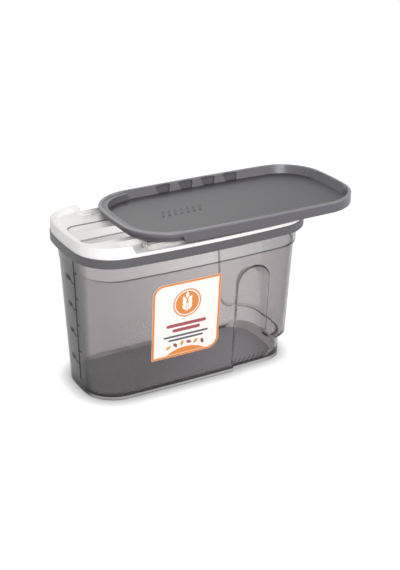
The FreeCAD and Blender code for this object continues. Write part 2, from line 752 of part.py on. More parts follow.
# Hooks under the lid: a wall beside each guide bar with a foot under the bar's head.
hook_left = total(eye_left, cell("lid_travel"), cell("hook_gap"))
hook_right = less(eye_right, cell("hook_length"), cell("hook_gap"))
hook_inner_y = less(bar_inner_y, cell("hook_gap"), cell("hook_wall"))
hook_foot_top = less(bar_head_bottom, cell("hook_gap"))
hook_bottom = less(hook_foot_top, cell("hook_foot"))
hook_foot_reach = less(bar_web_y, cell("hook_gap"), hook_inner_y)
hooks = []
for index, x in enumerate((hook_left, hook_right)):
    hook_wall = box(f"hook_wall_{index}", x, f"-({hook_inner_y} + {cell('hook_wall')})", hook_bottom,
                    cell("hook_length"), cell("hook_wall"), less(tray_floor, hook_bottom, f"{cell('lid_floor')} / 2"))
    hook_foot = box(f"hook_foot_{index}", x, f"-({hook_inner_y} + {hook_foot_reach})", hook_bottom,
                    cell("hook_length"), hook_foot_reach, cell("hook_foot"))
    hook = fuse(f"hook_{index}", hook_wall, hook_foot)
    hooks += [hook, mirror(f"hook_far_{index}", hook)]
lid_shell = cut("lid_shell", lid_block, tray_hollow, dents)
lid_tray = cut("lid_tray", fuse("lid_whole", lid_shell, nose_band, *hooks), nose_cut, groove)

doc.recompute()

NODES = (tub, label, collar_ring, rim_seal, spout_frame, guide_bar_near, guide_bar_far, stop_pins, lid_tray)

failed = [item.Name for item in doc.Objects if "Invalid" in item.State or "Error" in item.State]
if failed:
    raise RuntimeError(f"failed: {failed}")
for node in NODES:
    if node.Shape.isNull() or not node.Shape.isValid():
        raise RuntimeError(f"{node.Label} has no valid shape")

os.makedirs("parts", exist_ok=True)
for node in NODES:
    node.Shape.exportStep(f"parts/{node.Label}.step")
    bounds = node.Shape.BoundBox
    print(
        f"{node.Label}: {len(node.Shape.Solids)} solid(s), {node.Shape.Volume / 1000:.2f} cm3, "
        f"x {bounds.XMin:.1f} to {bounds.XMax:.1f}, y {bounds.YMin:.1f} to {bounds.YMax:.1f}, "
        f"z {bounds.ZMin:.1f} to {bounds.ZMax:.1f}"
    )
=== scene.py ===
import math

import bpy
from mathutils import Matrix, Vector


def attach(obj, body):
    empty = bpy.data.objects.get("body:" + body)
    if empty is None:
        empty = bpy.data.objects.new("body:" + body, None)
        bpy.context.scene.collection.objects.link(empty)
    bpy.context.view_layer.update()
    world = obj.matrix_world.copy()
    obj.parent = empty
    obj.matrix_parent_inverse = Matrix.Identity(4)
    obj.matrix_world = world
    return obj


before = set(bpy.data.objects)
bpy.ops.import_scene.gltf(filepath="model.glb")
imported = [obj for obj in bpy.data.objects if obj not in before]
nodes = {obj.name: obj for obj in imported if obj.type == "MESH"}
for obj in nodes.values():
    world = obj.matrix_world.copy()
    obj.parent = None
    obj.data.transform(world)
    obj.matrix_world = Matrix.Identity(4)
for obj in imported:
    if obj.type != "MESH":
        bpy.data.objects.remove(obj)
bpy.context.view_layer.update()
print("frame loaded:", len(nodes), "nodes")

mm = 0.001  # every size below is written in millimetres


def hexToLinear(code):
    channels = [int(code[start:start + 2], 16) / 255 for start in (1, 3, 5)]
    linear = [c / 12.92 if c <= 0.04045 else ((c + 0.055) / 1.055) ** 2.4 for c in channels]
    return (*linear, 1.0)


def addNode(tree, kind, settings=None, links=None):
    node = tree.nodes.new(kind)
    for key, value in (settings or {}).items():
        if key in node.inputs:
            node.inputs[key].default_value = value
        else:
            setattr(node, key, value)
    for socket, source in (links or {}).items():
        tree.links.new(source, node.inputs[socket])
    return node


def newMaterial(name):
    material = bpy.data.materials.new(name)
    material.use_nodes = True
    tree = material.node_tree
    tree.nodes.clear()
    return material, tree


def setMaterial(piece, *materials):
    piece.data.materials.clear()
    for material in materials:
        piece.data.materials.append(material)


def pickOnly(*pieces):
    bpy.ops.object.select_all(action="DESELECT")
    for piece in pieces:
        piece.select_set(True)
    bpy.context.view_layer.objects.active = pieces[0]


def useModifier(piece, kind, settings):
    pickOnly(piece)
    bpy.ops.object.modifier_add(type=kind)
    modifier = piece.modifiers[-1]
    for key, value in settings.items():
        setattr(modifier, key, value)
    bpy.ops.object.modifier_apply(modifier=modifier.name)


# Leaves a piece in edit mode with only the points that pass the test selected.
def pickPoints(piece, test):
    pickOnly(piece)
    bpy.ops.object.mode_set(mode="EDIT")
    bpy.ops.mesh.select_mode(type="VERT")
    bpy.ops.mesh.select_all(action="DESELECT")
    bpy.ops.object.mode_set(mode="OBJECT")
    for point in piece.data.vertices:
        point.select = test(point.co)
    bpy.ops.object.mode_set(mode="EDIT")


def joinAs(name, pieces):
    pickOnly(*pieces)
    if len(pieces) > 1:
        bpy.ops.object.join()
    piece = bpy.context.object
    piece.name = name
    piece.data.name = name
    return piece


# Camera: where the photograph was taken from, fitted to the object's outlines.
cameraView = {
    "place": (-381.6, -718.4, 433.7),
    "azimuth": -29.11,
    "elevation": 24.34,
    "roll": 0.27,
    "lens": 73.53,
    "sensorHeight": 36.0,
}


def addCamera():
    place = Vector(cameraView["place"]) * mm
    bpy.ops.object.camera_add()
    camera = bpy.context.object
    turn = Matrix.Rotation(math.radians(cameraView["azimuth"]), 4, "Z")
    tilt = Matrix.Rotation(math.radians(90 - cameraView["elevation"]), 4, "X")
    roll = Matrix.Rotation(math.radians(cameraView["roll"]), 4, "Z")
    camera.matrix_world = Matrix.Translation(place) @ turn @ tilt @ roll
    camera.data.sensor_fit = "VERTICAL"
    camera.data.sensor_height = cameraView["sensorHeight"]
    camera.data.lens = cameraView["lens"]
    bpy.context.scene.camera = camera


addCamera()
print("camera placed")

# Studio: white paper that keeps the object's shadow and adds a painted contact shadow, a white surround, a
# low front lamp and two weaker ones.
studio = {
    "paperColour": "#f4f4f4",
    "paperShare": 0.3,
    "paperLift": 1.28,
    "contactReach": 13,
    "contactSamples": 12,
    "contactDepth": 1.4,
    "paperSize": 9000,
    "surroundLight": 0.37,
    "lamps": (
        {"name": "frontLamp", "place": (-300, -1200, 700), "size": 600, "power": 11.4},
        {"name": "sideLamp", "place": (900, -500, 700), "size": 700, "power": 2.5},
        {"name": "backLamp", "place": (250, 900, 900), "size": 800, "power": 2.6},
    ),
    "aim": (10, 0, 70),
}


# 1 where the eye sees a surface directly, through the clear wall or in a reflection.
def seenByEye(tree):
    path = addNode(tree, "ShaderNodeLightPath")
    direct = addNode(tree, "ShaderNodeMath", {"operation": "ADD", "use_clamp": True})
    tree.links.new(path.outputs["Is Camera Ray"], direct.inputs[0])
    tree.links.new(path.outputs["Is Transmission Ray"], direct.inputs[1])
    seen = addNode(tree, "ShaderNodeMath", {"operation": "ADD", "use_clamp": True})
    tree.links.new(direct.outputs[0], seen.inputs[0])
    tree.links.new(path.outputs["Is Glossy Ray"], seen.inputs[1])
    return seen.outputs[0]


def mixShaders(tree, share, first, second):
    mix = addNode(tree, "ShaderNodeMixShader")
    if isinstance(share, float):
        mix.inputs["Fac"].default_value = share
    else:
        tree.links.new(share, mix.inputs["Fac"])
    tree.links.new(first.outputs[0], mix.inputs[1])
    tree.links.new(second.outputs[0], mix.inputs[2])
    return mix


def addStudio():
    white = (1, 1, 1, 1)
    bpy.ops.mesh.primitive_plane_add(size=studio["paperSize"] * mm)
    floor = bpy.context.object
    floor.name = "studioFloor"
    material, tree = newMaterial("studioPaper")
    paper = addNode(tree, "ShaderNodeBsdfDiffuse", {"Color": hexToLinear(studio["paperColour"])})
    # Painted contact shadow: the glow that whitens the paper darkens where the object stands close over it.
    closeBy = {"Distance": studio["contactReach"] * mm, "samples": studio["contactSamples"]}
    contact = addNode(tree, "ShaderNodeAmbientOcclusion", closeBy)
    paintedContactShadow = addNode(tree, "ShaderNodeMath", {"operation": "POWER"})
    tree.links.new(contact.outputs["AO"], paintedContactShadow.inputs[0])
    paintedContactShadow.inputs[1].default_value = studio["contactDepth"]
    lift = addNode(tree, "ShaderNodeEmission", {"Strength": studio["paperLift"]},
                   {"Color": paintedContactShadow.outputs[0]})
    shown = mixShaders(tree, studio["paperShare"], lift, paper)
    mix = mixShaders(tree, seenByEye(tree), paper, shown)
    addNode(tree, "ShaderNodeOutputMaterial", {}, {"Surface": mix.outputs[0]})
    setMaterial(floor, material)
    world = bpy.data.worlds.new("studioSurround")
    bpy.context.scene.world = world
    world.use_nodes = True
    tree = world.node_tree
    tree.nodes.clear()
    lit = addNode(tree, "ShaderNodeBackground", {"Color": white, "Strength": studio["surroundLight"]})
    shown = addNode(tree, "ShaderNodeBackground", {"Color": white, "Strength": 1.0})
    mix = mixShaders(tree, seenByEye(tree), lit, shown)
    addNode(tree, "ShaderNodeOutputWorld", {}, {"Surface": mix.outputs[0]})
    aim = Vector(studio["aim"]) * mm
    for lamp in studio["lamps"]:
        place = Vector(lamp["place"]) * mm
        bpy.ops.object.light_add(type="AREA", location=place)
        light = bpy.context.object
        light.name = lamp["name"]
        light.data.size = lamp["size"] * mm
        light.data.energy = lamp["power"]
        light.rotation_euler = (aim - place).to_track_quat("-Z", "Y").to_euler()


addStudio()
bpy.context.scene.view_settings.view_transform = "Standard"
print("studio lit")

# Injection-moulded SAN with a smoke tint: it darkens where the eye looks through more of it,
# and a slow ripple left by the mould stirs its reflections. The solid edge of the base is a pale band,
# partly its solid plastic and partly painted light, under a dark line of painted shade, and the band over
# the ridge is clearer. Heights pair a level with the tint or painted band and the share of light let
# through; the painted shade and light along the tub give the start and the end of a stretch, with the share
# of the tint's brightness at each.
smokeSan = {
    "heights": (
        # The solid edge of the base: a pale band, partly its solid plastic and partly painted light.
        (0.0, "#b3b1b2", 0.2),
        (2.9, "#b3b1b2", 0.2),
        # A dark line of painted shade along the floor's edge, over the pale band.
        (3.1, "#4d4b4f", 0.7),
        (4.0, "#4d4b4f", 0.7),
        (4.4, "#dddadb", 1.0),
        (98.8, "#dddadb", 1.0),
        (99.6, "#fbf9f7", 1.0),
    ),
    "top": 115.0,
    # Painted shade and light along the tub: start, end and the share of the tint's brightness at each.
    "paintedShadeAndLight": ((-86.0, -83.6, 0.06, 0.95), (-50, 25, 1.0, 1.26), (48, 90, 1.0, 0.8)),
    "endLean": 0.0325,
    "smoke": (0.355, 0.323, 0.32),
    "density": 160.0,
    "edgeOn": (0.3, 0.8, 0.45),
    "roughness": 0.05,
    "ior": 1.34,
    "rippleSize": 38,
    "rippleDepth": 0.03,
    "rippleStrength": 0.4,
}
# The floor of the tub is moulded with a fine diagonal hatch, which turns it dark and matt.
hatchedSan = {
    "dark": "#9a989d",
    "light": "#dcdadf",
    "roughness": 0.45,
    "hatchSpacing": 2.2,
    "hatchDepth": 0.12,
    "hatchStrength": 0.6,
    "hatchWander": 0.6,
    "hatchTurn": 57,
    "cloudSize": 30,
    "cloudShare": 0.2,
    "level": 3.0,
}
# The slanted edge round the floor is glossy, and a near-white colour on it is a painted highlight for the
# light it throws back.
highlightEdgeSan = {"name": "paintedHighlightSanEdge", "colour": "#efecea", "roughness": 0.16, "grain": 1.4, "rise": 5.2}
# The narrow step where the wall widens under the collar is seen edge on, and a dark colour on its level
# faces paints the shade there as a dark line.
paintedShadeStepSan = {
    "name": "paintedShadeSanStep",
    "colour": "#3f3d41",
    "roughness": 0.4,
    "grain": 1.0,
    "level": 99.2,
    "reach": 0.2,
}


def smokeSanMaterial():
    material, tree = newMaterial("smokeSanMoulded")
    place = addNode(tree, "ShaderNodeTexCoord")
    waves = {"Scale": 1 / (smokeSan["rippleSize"] * mm), "Detail": 1.0}
    ripple = addNode(tree, "ShaderNodeTexNoise", waves, {"Vector": place.outputs["Object"]})
    relief = {"Strength": smokeSan["rippleStrength"], "Distance": smokeSan["rippleDepth"] * mm}
    bump = addNode(tree, "ShaderNodeBump", relief, {"Height": ripple.outputs["Fac"]})
    axes = addNode(tree, "ShaderNodeSeparateXYZ", {}, {"Vector": place.outputs["Object"]})
    height = addNode(tree, "ShaderNodeMapRange", {"From Max": smokeSan["top"] * mm},
                     {"Value": axes.outputs["Z"]})
    tintWithPaintedBands = addNode(tree, "ShaderNodeValToRGB", {}, {"Fac": height.outputs["Result"]})
    clear = addNode(tree, "ShaderNodeValToRGB", {}, {"Fac": height.outputs["Result"]})
    for ramp in (tintWithPaintedBands.color_ramp, clear.color_ramp):
        while len(ramp.elements) < len(smokeSan["heights"]):
            ramp.elements.new(1.0)
    for step, (level, colour, share) in enumerate(smokeSan["heights"]):
        clearness = (share, share, share, 1.0)
        for ramp, value in ((tintWithPaintedBands.color_ramp, hexToLinear(colour)), (clear.color_ramp, clearness)):
            ramp.elements[step].position = level / smokeSan["top"]
            ramp.elements[step].color = value
    # A wall seen edge-on has more plastic in the way.
    facing = addNode(tree, "ShaderNodeLayerWeight", {"Blend": 0.5})
    edgeStart, edgeEnd, edgeShare = smokeSan["edgeOn"]
    edges = {"From Min": edgeStart, "From Max": edgeEnd, "To Min": 1.0, "To Max": edgeShare}
    thick = addNode(tree, "ShaderNodeMapRange", edges, {"Value": facing.outputs["Facing"]})
    tintWithPaintedShade = addNode(tree, "ShaderNodeMixRGB", {"blend_type": "MULTIPLY", "Fac": 1.0},
                   {"Color1": tintWithPaintedBands.outputs["Color"], "Color2": thick.outputs["Result"]})
    # Painted shade darkens the tint at the spout end, nearly to black at its outer face, and towards the
    # far end, and painted light brightens it round the grip; the stretches follow the spout end's outward
    # lean.
    upright = addNode(tree, "ShaderNodeMath", {"operation": "MULTIPLY_ADD"},
                      {0: axes.outputs["Z"], 2: axes.outputs["X"]})
    upright.inputs[1].default_value = smokeSan["endLean"]
    for start, end, startShare, endShare in smokeSan["paintedShadeAndLight"]:
        reach = {"From Min": start * mm, "From Max": end * mm, "To Min": startShare, "To Max": endShare}
        paintedShading = addNode(tree, "ShaderNodeMapRange", reach, {"Value": upright.outputs["Value"]})
        tintWithPaintedShade = addNode(tree, "ShaderNodeMixRGB", {"blend_type": "MULTIPLY", "use_clamp": True, "Fac": 1.0},
                       {"Color1": tintWithPaintedShade.outputs["Color"], "Color2": paintedShading.outputs["Result"]})
    plastic = addNode(tree, "ShaderNodeBsdfPrincipled", {
        "Roughness": smokeSan["roughness"],
        "IOR": smokeSan["ior"],
    }, {
        "Base Color": tintWithPaintedShade.outputs["Color"],
        "Transmission Weight": clear.outputs["Color"],
        "Normal": bump.outputs["Normal"],
    })
    smoke = addNode(tree, "ShaderNodeVolumeAbsorption",
                    {"Color": (*smokeSan["smoke"], 1.0), "Density": smokeSan["density"]})
    addNode(tree, "ShaderNodeOutputMaterial", {},
            {"Surface": plastic.outputs[0], "Volume": smoke.outputs[0]})
    return material


def hatchedSanMaterial():
    material, tree = newMaterial("hatchedSanFloor")
    place = addNode(tree, "ShaderNodeTexCoord")
    turned = addNode(tree, "ShaderNodeMapping", {"Rotation": (0, 0, math.radians(hatchedSan["hatchTurn"]))},
                     {"Vector": place.outputs["Object"]})
    # One wave band is 2 pi / 20 of a unit wide at scale 1.
    bands = math.tau / 20 / (hatchedSan["hatchSpacing"] * mm)
    waves = {"Scale": bands, "Distortion": hatchedSan["hatchWander"], "Detail": 1.0}
    hatch = addNode(tree, "ShaderNodeTexWave", waves, {"Vector": turned.outputs["Vector"]})
    clouds = {"Scale": 1 / (hatchedSan["cloudSize"] * mm), "Detail": 3.0}
    cloud = addNode(tree, "ShaderNodeTexNoise", clouds, {"Vector": place.outputs["Object"]})
    blended = addNode(tree, "ShaderNodeMix", {"data_type": "FLOAT", "Factor": hatchedSan["cloudShare"]},
                      {"A": hatch.outputs["Fac"], "B": cloud.outputs["Fac"]})
    shade = addNode(tree, "ShaderNodeValToRGB", {}, {"Fac": blended.outputs["Result"]})
    shade.color_ramp.elements[0].color = hexToLinear(hatchedSan["dark"])
    shade.color_ramp.elements[1].color = hexToLinear(hatchedSan["light"])
    relief = {"Strength": hatchedSan["hatchStrength"], "Distance": hatchedSan["hatchDepth"] * mm}
    bump = addNode(tree, "ShaderNodeBump", relief, {"Height": hatch.outputs["Fac"]})
    plastic = addNode(tree, "ShaderNodeBsdfPrincipled", {
        "Roughness": hatchedSan["roughness"],
        "IOR": smokeSan["ior"],
    }, {"Base Color": shade.outputs["Color"], "Normal": bump.outputs["Normal"]})
    addNode(tree, "ShaderNodeOutputMaterial", {}, {"Surface": plastic.outputs[0]})
    return material


# Faces are told apart by how far up their normals point, and levels by a small reach.
faceKinds = {"slantedFrom": 0.3, "levelFrom": 0.9, "levelReach": 0.1}


# Whether a face lies level at one height.
def isLevel(face, height):
    flat = face.normal.z > faceKinds["levelFrom"]
    return flat and abs(face.center.z - height * mm) < faceKinds["levelReach"] * mm


# Whether a face slants up, as a bevel does.
def isSlanted(face):
    return faceKinds["slantedFrom"] < face.normal.z < faceKinds["levelFrom"]


# Moulded polypropylene and the pieces that sit with it: satin, with slow clouds in the colour
# and a fine grain from the mould that breaks up the reflections. Grain sizes are coarse enough to show.
mouldedLooks = {
    "collar_ring": {"name": "greyPpCollar", "colour": "#58565b", "roughness": 0.42, "grain": 0.9},
    "spout_frame": {"name": "whitePpFrame", "colour": "#f8f6f4", "roughness": 0.36, "grain": 1.2},
    "guide_bar_near": {"name": "palePpBarNear", "colour": "#e6e4e1", "roughness": 0.4, "grain": 1.2},
    "guide_bar_far": {"name": "palePpBarFar", "colour": "#e6e4e1", "roughness": 0.4, "grain": 1.2},
    "stop_pins": {"name": "palePpPin", "colour": "#dcdad7", "roughness": 0.36, "grain": 1.0},
    "rim_seal": {"name": "siliconeSeal", "colour": "#d6d4d1", "roughness": 0.55, "grain": 1.5},
    "label": {"name": "labelFilm", "colour": "#f7f4f0", "roughness": 0.3, "grain": 2.5},
}
# The lid is grey polypropylene too, in lit and shaded copies of one grey: satin on its skirt, polished
# along the edge of its rim, which is paler with a painted highlight, and on the tray's walls, which are
# paler with painted light, and grained on the tray's floor and in the finger dents, which are darker with
# painted shade.
lidLooks = {
    "skirt": {"name": "smokePpSkirt", "colour": "#5d5b61", "roughness": 0.33, "grain": 0.8},
    # Painted shade: the tray's floor is a darker copy of the lid's grey.
    "tray": {"name": "paintedShadePpTray", "colour": "#3b393d", "roughness": 0.36, "grain": 0.6, "depth": 0.05},
    # Painted light: the tray's walls are a paler copy of the lid's grey.
    "wall": {"name": "paintedLightPpTrayWall", "colour": "#69676c", "roughness": 0.28, "grain": 0.8},
    # Painted shade: the finger dents are a darker copy of the lid's grey, in the shade of the recess.
    "dent": {"name": "paintedShadePpDent", "colour": "#49474c", "roughness": 0.5, "grain": 0.6, "depth": 0.05},
    # Painted highlight: the rim's top and rounded edge are a paler copy of the lid's grey.
    "rim": {"name": "paintedHighlightPpRim", "colour": "#7b797f", "roughness": 0.22, "grain": 0.8},
}
lidPlaces = {
    "trayLevel": 124.6,
    "rimLevel": 130.8,
    "edgeRound": 0.9,
    "middle": 41.4,
    "dentCount": 4,
    "dentPitch": 20.2,
    "dentFoot": 9.6,
    "dentTop": 13.2,
    "dentRise": (0.02, 0.95),
    "dentWall": (45.8, 50.0),
    "wallSlope": 0.6,
}
# What all mouldings share: the size and shades of the clouds, the grain and the light it scatters.
moulding = {
    "cloudSize": 45,
    "cloudShades": (0.93, 1.05),
    "grainDepth": 0.03,
    "grainStrength": 0.15,
    "satinSpread": (-0.04, 0.06),
    "ior": 1.49,
}


def mouldedMaterial(look):
    material, tree = newMaterial(look["name"])
    place = addNode(tree, "ShaderNodeTexCoord")
    grain = addNode(tree, "ShaderNodeTexNoise", {"Scale": 1 / (look["grain"] * mm), "Detail": 2.0},
                    {"Vector": place.outputs["Object"]})
    cloud = addNode(tree, "ShaderNodeTexNoise", {"Scale": 1 / (moulding["cloudSize"] * mm), "Detail": 2.0},
                    {"Vector": place.outputs["Object"]})
    colour = hexToLinear(look["colour"])
    darker, paler = moulding["cloudShades"]
    shade = addNode(tree, "ShaderNodeValToRGB", {}, {"Fac": cloud.outputs["Fac"]})
    shade.color_ramp.elements[0].color = (*[c * darker for c in colour[:3]], 1)
    shade.color_ramp.elements[1].color = (*[min(c * paler, 1) for c in colour[:3]], 1)
    smoother, rougher = moulding["satinSpread"]
    satin = addNode(tree, "ShaderNodeMapRange",
                    {"To Min": look["roughness"] + smoother, "To Max": look["roughness"] + rougher},
                    {"Value": grain.outputs["Fac"]})
    depth = look.get("depth", moulding["grainDepth"])
    bump = addNode(tree, "ShaderNodeBump", {"Strength": moulding["grainStrength"], "Distance": depth * mm},
                   {"Height": grain.outputs["Fac"]})
    plastic = addNode(tree, "ShaderNodeBsdfPrincipled", {"IOR": moulding["ior"]}, {
        "Base Color": shade.outputs["Color"],
        "Roughness": satin.outputs["Result"],
        "Normal": bump.outputs["Normal"],
    })
    addNode(tree, "ShaderNodeOutputMaterial", {}, {"Surface": plastic.outputs[0]})
    return material


def dressTub():
    tub = nodes["tub"]
    finishesAndShades = [mouldedMaterial(look) for look in (highlightEdgeSan, paintedShadeStepSan)]
    setMaterial(tub, smokeSanMaterial(), hatchedSanMaterial(), *finishesAndShades)
    for face in tub.data.polygons:
        height = face.center.z / mm
        flat = abs(face.normal.z) > faceKinds["levelFrom"]
        underside = face.normal.z < -faceKinds["levelFrom"] and height < faceKinds["levelReach"]
        if underside or isLevel(face, hatchedSan["level"]):
            face.material_index = 1
        # The slanted edge round the floor gets the painted highlight.
        elif isSlanted(face) and 0 < height - hatchedSan["level"] < highlightEdgeSan["rise"]:
            face.material_index = 2
        # The step's level faces get the dark line of painted shade.
        elif flat and abs(height - paintedShadeStepSan["level"]) < paintedShadeStepSan["reach"]:
            face.material_index = 3
        else:
            face.material_index = 0


dressTub()
print("tub dressed")

for nodeName, look in mouldedLooks.items():
    setMaterial(nodes[nodeName], mouldedMaterial(look))

# The bevel round the pour mouth is rough and given a grey that paints the shade at the opening's edge as a
# grey line.
mouthShadeLine = {
    "finish": {"name": "paintedShadePpMouth", "colour": "#8f8c8a", "roughness": 0.6, "grain": 0.7},
    "lowest": (-87.0, -22.0, 121.3),
    "highest": (-33.0, 22.0, 122.4),
}


def dressMouth():
    spoutFrame = nodes["spout_frame"]
    spoutFrame.data.materials.append(mouldedMaterial(mouthShadeLine["finish"]))
    for face in spoutFrame.data.polygons:
        corners = zip(mouthShadeLine["lowest"], face.center / mm, mouthShadeLine["highest"])
        inside = all(low < value < high for low, value, high in corners)
        # The slanted faces of the mouth's bevel get the grey of painted shade.
        face.material_index = 1 if inside and isSlanted(face) else 0


dressMouth()
lidMaterials = {key: mouldedMaterial(look) for key, look in lidLooks.items()}


# Whether a face of the lid is the back of one of the finger dents in the long walls.
def isDent(face):
    place = face.center / mm
    rise = (place.z - lidPlaces["trayLevel"]) / (lidPlaces["rimLevel"] - lidPlaces["trayLevel"])
    width = lidPlaces["dentFoot"] + (lidPlaces["dentTop"] - lidPlaces["dentFoot"]) * rise
    steps = [step - (lidPlaces["dentCount"] - 1) / 2 for step in range(lidPlaces["dentCount"])]
    centres = [lidPlaces["middle"] + lidPlaces["dentPitch"] * step for step in steps]
    wallFrom, wallTo = lidPlaces["dentWall"]
    riseFrom, riseTo = lidPlaces["dentRise"]
    onWall = wallFrom < abs(place.y) < wallTo and riseFrom < rise < riseTo
    facesTray = face.normal.y * place.y < 0
    return onWall and facesTray and min(abs(place.x - centre) for centre in centres) < width / 2


# The kind of finish, with its painted light or shade, that a face of the lid has.
def lidFinishAndShade(face):
    place = face.center / mm
    inwards = face.normal.x * (lidPlaces["middle"] - place.x) - face.normal.y * place.y > 0
    if isLevel(face, lidPlaces["trayLevel"]):
        return "tray"
    if isDent(face):
        return "dent"
    if lidPlaces["rimLevel"] - place.z < lidPlaces["edgeRound"]:
        return "rim"
    if inwards and abs(face.normal.z) < lidPlaces["wallSlope"] and place.z > lidPlaces["trayLevel"]:
        return "wall"
    return "skirt"


def dressLid():
    lid = nodes["lid_tray"]
    finishesAndShades = list(lidLooks)
    setMaterial(lid, *(lidMaterials[key] for key in finishesAndShades))
    for face in lid.data.polygons:
        face.material_index = finishesAndShades.index(lidFinishAndShade(face))


dressLid()
print("moulded pieces dressed")

# Screen-printed ink: opaque, a little duller than the film or plastic under it.
inks = {
    "orange": {"name": "orangeInk", "colour": "#e2883a", "roughness": 0.38, "grain": 0.7},
    "brown": {"name": "brownInk", "colour": "#8a4a33", "roughness": 0.38, "grain": 0.7},
    "red": {"name": "redInk", "colour": "#a94c55", "roughness": 0.38, "grain": 0.7},
    "ochre": {"name": "ochreInk", "colour": "#d7a63f", "roughness": 0.38, "grain": 0.7},
    "slate": {"name": "slateInk", "colour": "#55555a", "roughness": 0.38, "grain": 0.7},
    "white": {"name": "whiteInk", "colour": "#f6f2ec", "roughness": 0.38, "grain": 0.7},
    "scale": {"name": "blackScaleInk", "colour": "#151417", "roughness": 0.7, "grain": 0.7},
}
inkLayer = {"lift": 0.03, "thickness": 0.04}
# A kernel's tips are drawn in, and a pill's corners are rounded by nearly half its height.
kernelTips = {"from": 0.3, "stretch": (0.55, 1.12, 1)}
pillRound = 0.49
# The way a flat shape faces: the near wall or the spout end.
faceNear = 0.0
faceSpout = -math.pi / 2


# A flat shape drawn upright in front of a wall: a strip, a pill, a disc or a pointed kernel.
def addFlat(kind, place, width, height, lean=0.0, heading=faceNear):
    bpy.ops.object.select_all(action="DESELECT")
    if kind in ("strip", "pill"):
        bpy.ops.mesh.primitive_plane_add(size=1)
    else:
        bpy.ops.mesh.primitive_circle_add(vertices=32, radius=0.5, fill_type="NGON")
    piece = bpy.context.object
    piece.scale = (width * mm, height * mm, 1)
    bpy.ops.object.transform_apply()
    tips = kernelTips["from"] * height * mm
    pickPoints(piece, lambda point: abs(point.y) > tips)
    if kind == "kernel":
        bpy.ops.transform.resize(value=kernelTips["stretch"], center_override=(0, 0, 0))
    bpy.ops.mesh.select_all(action="SELECT")
    if kind == "pill":
        bpy.ops.mesh.bevel(offset=min(width, height) * pillRound * mm, segments=5, affect="VERTICES")
    if kind == "strip":
        bpy.ops.mesh.subdivide(number_cuts=14)
    else:
        bpy.ops.mesh.poke()
        bpy.ops.mesh.subdivide(number_cuts=3)
    bpy.ops.object.mode_set(mode="OBJECT")
    piece.rotation_euler = (math.pi / 2, lean, heading)
    piece.location = Vector(place) * mm
    bpy.ops.object.transform_apply()
    return piece


# Lays a flat drawing on the wall behind it and gives it the thickness of an ink layer.
def layOnWall(piece, wall, heading, layer=0):
    alongX = heading == faceSpout
    useModifier(piece, "SHRINKWRAP", {
        "target": wall,
        "wrap_method": "PROJECT",
        "use_project_x": alongX,
        "use_project_y": not alongX,
        "use_positive_direction": True,
        "use_negative_direction": False,
    })
    lift = (inkLayer["lift"] + layer * (inkLayer["thickness"] + inkLayer["lift"])) * mm
    bpy.ops.object.mode_set(mode="EDIT")
    bpy.ops.mesh.select_all(action="SELECT")
    bpy.ops.transform.translate(value=(-lift if alongX else 0, 0 if alongX else -lift, 0))
    bpy.ops.object.mode_set(mode="OBJECT")
    useModifier(piece, "SOLIDIFY", {"thickness": inkLayer["thickness"] * mm, "offset": 1.0})


# Measuring scale printed on the spout end of the tub: an upright line, ticks to both sides
# and four numbers.
measuringScale = {
    "standOff": -120,
    "lineTop": (-7.6, 106.4),
    "lineFoot": (-5.7, 10.2),
    "lineWidth": 2.0,
    "tickHeight": 1.1,
    "longTick": 6.2,
    "shortTick": 4.4,
    "longHeights": (22.6, 45.0, 66.6, 88.0),
    "shortHeights": (10.2, 34.0, 56.0, 77.5, 98.0),
    "numbers": ("250", "500", "750", "1000"),
    "numberSize": 5.0,
    "numberWeight": 0.16,
    "numberGap": (6.4, 0.2),
}


def addScale():
    look = measuringScale
    depth = look["standOff"]
    topY, topZ = look["lineTop"]
    footY, footZ = look["lineFoot"]

    def lineAt(height):
        return footY + (topY - footY) * (height - footZ) / (topZ - footZ)

    lean = math.atan2(topY - footY, topZ - footZ)
    middle = (depth, (topY + footY) / 2, (topZ + footZ) / 2)
    marks = [addFlat("strip", middle, look["lineWidth"], topZ - footZ, -lean, faceSpout)]
    for height in look["longHeights"]:
        place = (depth, lineAt(height) + look["longTick"] / 2, height)
        marks.append(addFlat("strip", place, look["longTick"], look["tickHeight"], 0.0, faceSpout))
    for height in look["shortHeights"]:
        place = (depth, lineAt(height) - look["shortTick"] / 2, height)
        marks.append(addFlat("strip", place, look["shortTick"], look["tickHeight"], 0.0, faceSpout))
    for height, digits in zip(look["longHeights"], look["numbers"]):
        bpy.ops.object.select_all(action="DESELECT")
        bpy.ops.object.text_add()
        number = bpy.context.object
        number.data.body = digits
        number.data.size = look["numberSize"] * mm
        number.data.offset = look["numberWeight"] * mm
        number.data.align_x = "RIGHT"
        bpy.ops.object.convert(target="MESH")
        number.rotation_euler = (math.pi / 2, 0, faceSpout)
        acrossGap, upGap = look["numberGap"]
        number.location = Vector((depth, lineAt(height) + acrossGap, height + upGap)) * mm
        bpy.ops.object.transform_apply()
        marks.append(number)
    piece = joinAs("measuringScale", marks)
    layOnWall(piece, nodes["tub"], faceSpout)
    setMaterial(piece, mouldedMaterial(inks["scale"]))
    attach(piece, "tub")


addScale()
print("measuring scale printed")

